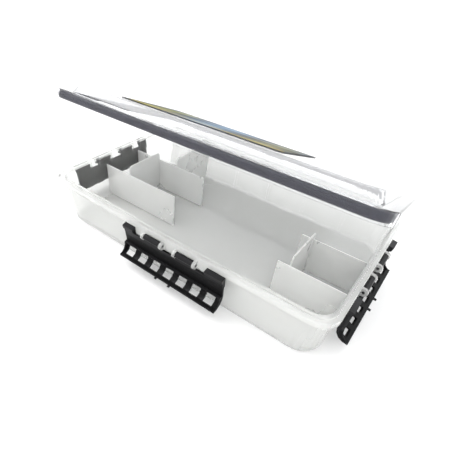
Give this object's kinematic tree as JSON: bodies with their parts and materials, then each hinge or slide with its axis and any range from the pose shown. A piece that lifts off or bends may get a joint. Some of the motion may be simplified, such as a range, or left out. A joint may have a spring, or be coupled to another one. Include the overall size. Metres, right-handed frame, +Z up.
{
  "type": "fishing tackle box",
  "caption": "Shallow rectangular see-through tackle box: drafted tray with fixed and lift-out walls, hinged domed lid with a dark seal, and wide windowed hook latches.",
  "frame": {"origin": "Centre of the tray's flat underside.", "axes": "+X along the hinge toward the right-hand end, +Y from the front latch toward the hinge, +Z up out of the tray."},
  "size_m": [0.3856, 0.2518, 0.1604],
  "materials": {
    "tray_plastic": "frosted, see-through",
    "divider_plastic": "frosted, see-through",
    "lid_plastic": "clear, polished",
    "gasket_rubber": "smooth",
    "latch_plastic": "satin moulded",
    "pin_plastic": "satin moulded",
    "label_paper": "printed, coated"
  },
  "bodies": {
    "tray": {"tray_shell": "tray_plastic", "tray_wall_left_front": "tray_plastic", "tray_wall_left_back": "tray_plastic", "tray_wall_right_front": "tray_plastic", "tray_wall_right_back": "tray_plastic", "hinge_pin_left": "pin_plastic", "hinge_pin_middle": "pin_plastic", "hinge_pin_right": "pin_plastic", "latch_pin_front_1": "pin_plastic", "latch_pin_front_2": "pin_plastic", "latch_pin_right_1": "pin_plastic", "latch_pin_right_2": "pin_plastic", "latch_pin_left_1": "pin_plastic", "latch_pin_left_2": "pin_plastic"},
    "lid": {"lid_shell": "lid_plastic", "lid_gasket": "gasket_rubber", "lid_label": "label_paper"},
    "front_latch": {"latch_front": "latch_plastic"},
    "right_latch": {"latch_right": "latch_plastic"},
    "left_latch": {"latch_left": "latch_plastic"},
    "left_divider": {"divider_left": "divider_plastic"},
    "right_divider": {"divider_right": "divider_plastic"},
    "back_divider": {"divider_back": "divider_plastic"}
  },
  "joints": [
    {"name": "lid_hinge", "type": "hinge", "parent": "tray", "child": "lid", "pos_m": [0, 0.12, 0.0598], "axis": [-1, 0, 0], "range_deg": [-22.3, 77.7]},
    {"name": "front_latch_pivot", "type": "hinge", "parent": "tray", "child": "front_latch", "pos_m": [0.014, -0.116, 0.0493], "axis": [-1, 0, 0], "range_deg": [0, 188]},
    {"name": "right_latch_pivot", "type": "hinge", "parent": "tray", "child": "right_latch", "pos_m": [0.18, -0.012, 0.0493], "axis": [0, -1, 0], "range_deg": [0, 188]},
    {"name": "left_latch_pivot", "type": "hinge", "parent": "tray", "child": "left_latch", "pos_m": [-0.18, -0.012, 0.0493], "axis": [0, 1, 0], "range_deg": [0, 188]},
    {"name": "left_divider_lift", "type": "slide", "parent": "tray", "child": "left_divider", "axis": [0, 0, 1], "range_m": [0, 0.045]},
    {"name": "right_divider_lift", "type": "slide", "parent": "tray", "child": "right_divider", "axis": [0, 0, 1], "range_m": [0, 0.045]},
    {"name": "back_divider_lift", "type": "slide", "parent": "tray", "child": "back_divider", "axis": [0, 0, 1], "range_m": [0, 0.018]}
  ]
}
